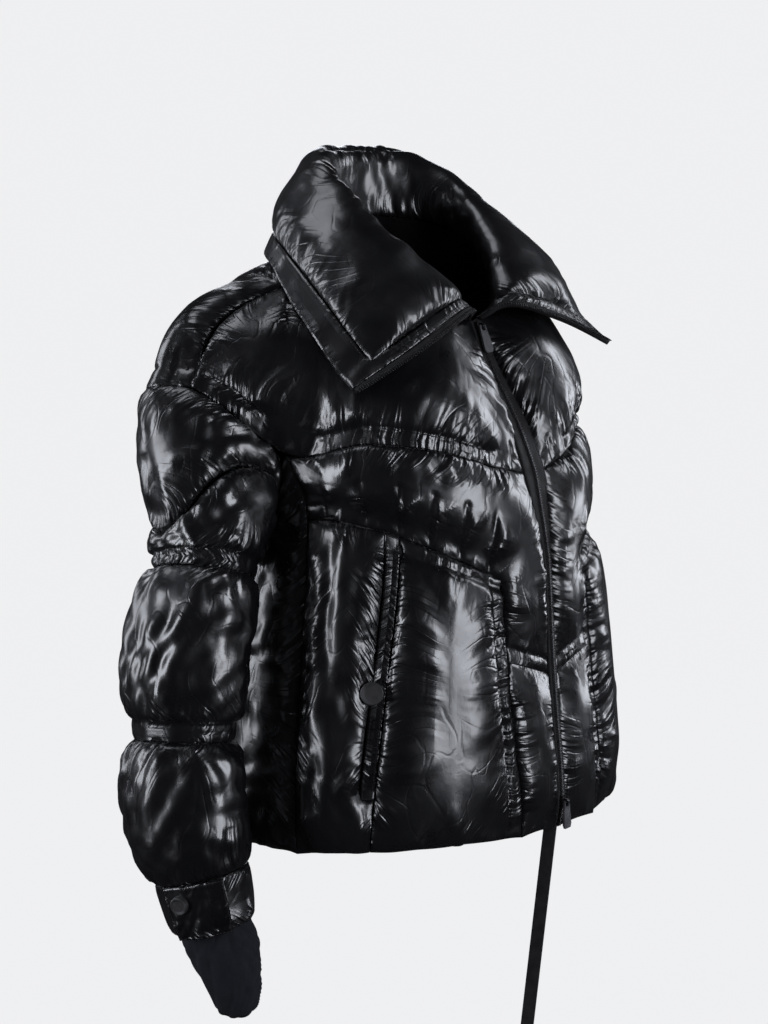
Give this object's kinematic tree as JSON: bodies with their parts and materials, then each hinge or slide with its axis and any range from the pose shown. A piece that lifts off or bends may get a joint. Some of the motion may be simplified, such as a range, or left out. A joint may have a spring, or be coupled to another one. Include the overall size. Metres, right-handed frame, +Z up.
{
  "type": "puffer jacket",
  "caption": "Cropped padded jacket with a wide zip-edged collar, panelled fronts, gathered seams, snap cuff tabs and knit inner cuffs, kept in its worn, hollow form.",
  "frame": {"origin": "at the base of the neck, in the middle of the neck opening, where the wearer holds the jacket up", "axes": "+Z up along the wearer's spine, the wearer faces -Y, the wearer's right is -X"},
  "size_m": [0.6993, 0.4527, 0.9211],
  "materials": {
    "nylon_shell": "glossy coated nylon",
    "zip_tape": "woven tape with moulded teeth",
    "knit_rib": "fine matte rib knit",
    "black_metal": "satin black",
    "soft_pull": "matte soft plastic",
    "webbing": "woven webbing"
  },
  "bodies": {
    "shell": {"yoke_front_right": "nylon_shell", "yoke_front_left": "nylon_shell", "yoke_back": "nylon_shell", "chest_right": "nylon_shell", "chest_left": "nylon_shell", "front_lower_right": "nylon_shell", "front_lower_left": "nylon_shell", "pocket_front_right": "nylon_shell", "pocket_front_left": "nylon_shell", "pocket_side_right": "nylon_shell", "pocket_side_left": "nylon_shell", "pocket_welt_right": "nylon_shell", "pocket_welt_left": "nylon_shell", "side_right": "nylon_shell", "side_left": "nylon_shell", "back_upper": "nylon_shell", "back_lower": "nylon_shell", "sleeve_right_cap": "nylon_shell", "sleeve_right_wedge": "nylon_shell", "sleeve_right_middle": "nylon_shell", "sleeve_right_lower": "nylon_shell", "sleeve_left_cap": "nylon_shell", "sleeve_left_wedge": "nylon_shell", "sleeve_left_middle": "nylon_shell", "sleeve_left_lower": "nylon_shell", "cuff_band_right": "nylon_shell", "cuff_band_left": "nylon_shell", "cuff_tab_right": "nylon_shell", "cuff_tab_left": "nylon_shell", "collar_panel": "nylon_shell", "collar_border_right": "nylon_shell", "collar_border_left": "nylon_shell", "collar_zip_right": "zip_tape", "collar_zip_left": "zip_tape", "front_zip_tape_right": "zip_tape", "front_zip_tape_left": "zip_tape", "knit_cuff_right": "knit_rib", "knit_cuff_left": "knit_rib", "cuff_snap_right": "black_metal", "cuff_snap_left": "black_metal", "pocket_snap_right": "black_metal", "pocket_snap_left": "black_metal", "slider_upper": "black_metal", "slider_lower": "black_metal", "strap_loop": "webbing"},
    "pull_tab_upper": {"pull_upper": "soft_pull"},
    "pull_tab_lower": {"pull_lower": "soft_pull"}
  },
  "joints": [
    {"name": "pull_upper_hinge", "type": "hinge", "parent": "shell", "child": "pull_tab_upper", "pos_m": [0.00558, -0.09385, -0.06013], "axis": [-0.9928, -0.0665, -0.1], "range_deg": [0, 170]},
    {"name": "pull_lower_hinge", "type": "hinge", "parent": "shell", "child": "pull_tab_lower", "pos_m": [0.04955, -0.16975, -0.53121], "axis": [-0.9885, -0.1361, -0.0655], "range_deg": [0, 170]}
  ]
}
